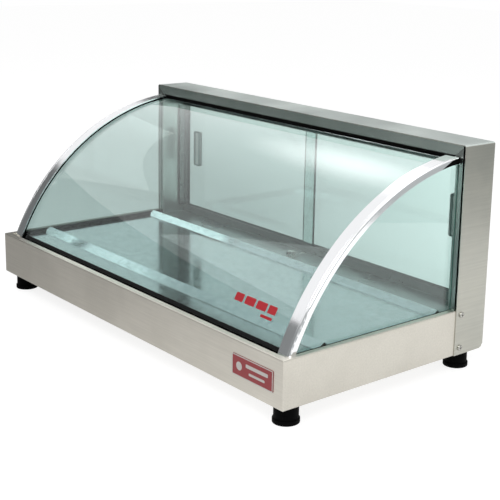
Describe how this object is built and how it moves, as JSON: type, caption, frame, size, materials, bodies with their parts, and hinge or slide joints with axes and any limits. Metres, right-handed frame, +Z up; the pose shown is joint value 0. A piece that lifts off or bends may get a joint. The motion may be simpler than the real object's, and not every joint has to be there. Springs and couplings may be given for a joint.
{
  "type": "curved display case",
  "caption": "Countertop heated display case with a curved front glass, flat side glasses, two sliding glass doors at the back and a stainless steel base on rubber feet.",
  "frame": {"origin": "on the counter, below the middle of the whole case", "axes": "+X to the right as the customer faces the curved glass, +Y from the front to the doors at the back, +Z up"},
  "size_m": [0.7068, 0.3712, 0.31],
  "materials": {
    "stainless": "brushed",
    "galvanised": "spangled zinc",
    "front_glass": "clear",
    "side_glass": "clear",
    "door_glass": "clear",
    "trim_aluminium": "polished",
    "rubber": "matte",
    "pull_plastic": "satin",
    "badge_red": "gloss",
    "zinc_screw": "plain",
    "black_plastic": "satin",
    "lamp_red": "clear gloss",
    "element_steel": "oxidised",
    "ceramic": "matte",
    "lead_insulation": "matte"
  },
  "bodies": {
    "case": {"badge_plate": "badge_red", "base_front": "stainless", "base_left": "stainless", "base_rear": "stainless", "base_right": "stainless", "beam_gasket": "rubber", "bottom_cover": "stainless", "cord_gland": "black_plastic", "corner_seal_left": "rubber", "corner_seal_right": "rubber", "cover_screws": "zinc_screw", "deck_panel": "stainless", "door_head_track": "trim_aluminium", "door_jamb_left": "trim_aluminium", "door_jamb_right": "trim_aluminium", "door_sill": "trim_aluminium", "element_brackets": "galvanised", "element_terminals": "zinc_screw", "foot_front_left": "rubber", "foot_front_right": "rubber", "foot_nuts": "zinc_screw", "foot_rear_left": "rubber", "foot_rear_right": "rubber", "foot_screws": "zinc_screw", "front_glass": "front_glass", "front_glass_seal": "rubber", "gland_nut": "black_plastic", "heating_element": "element_steel", "leads": "lead_insulation", "pilot_lamp_body": "black_plastic", "pilot_lamp_lens": "lamp_red", "portal_frame": "stainless", "portal_screws": "zinc_screw", "portal_skin": "stainless", "sensor_bulb": "zinc_screw", "sensor_clip": "zinc_screw", "side_channel_left": "rubber", "side_channel_right": "rubber", "side_glass_left": "side_glass", "side_glass_right": "side_glass", "terminal_block": "ceramic", "thermostat_body": "black_plastic", "thermostat_dial": "trim_aluminium", "thermostat_screws": "zinc_screw", "trim_gasket_left": "rubber", "trim_gasket_right": "rubber", "trim_left": "trim_aluminium", "trim_right": "trim_aluminium", "warming_plate": "galvanised"},
    "left_door": {"door_left": "door_glass", "door_pull_left": "pull_plastic"},
    "right_door": {"door_right": "door_glass", "door_pull_right": "pull_plastic"},
    "knob": {"thermostat_knob": "black_plastic", "thermostat_shaft": "zinc_screw"}
  },
  "joints": [
    {"name": "left_door_slide", "type": "slide", "parent": "case", "child": "left_door", "axis": [1, 0, 0], "range_m": [0, 0.318]},
    {"name": "right_door_slide", "type": "slide", "parent": "case", "child": "right_door", "axis": [-1, 0, 0], "range_m": [0, 0.318]},
    {"name": "knob_turn", "type": "hinge", "parent": "case", "child": "knob", "pos_m": [0.18, 0.16825, 0.057], "axis": [0, -1, 0], "range_deg": [0, 270]}
  ]
}
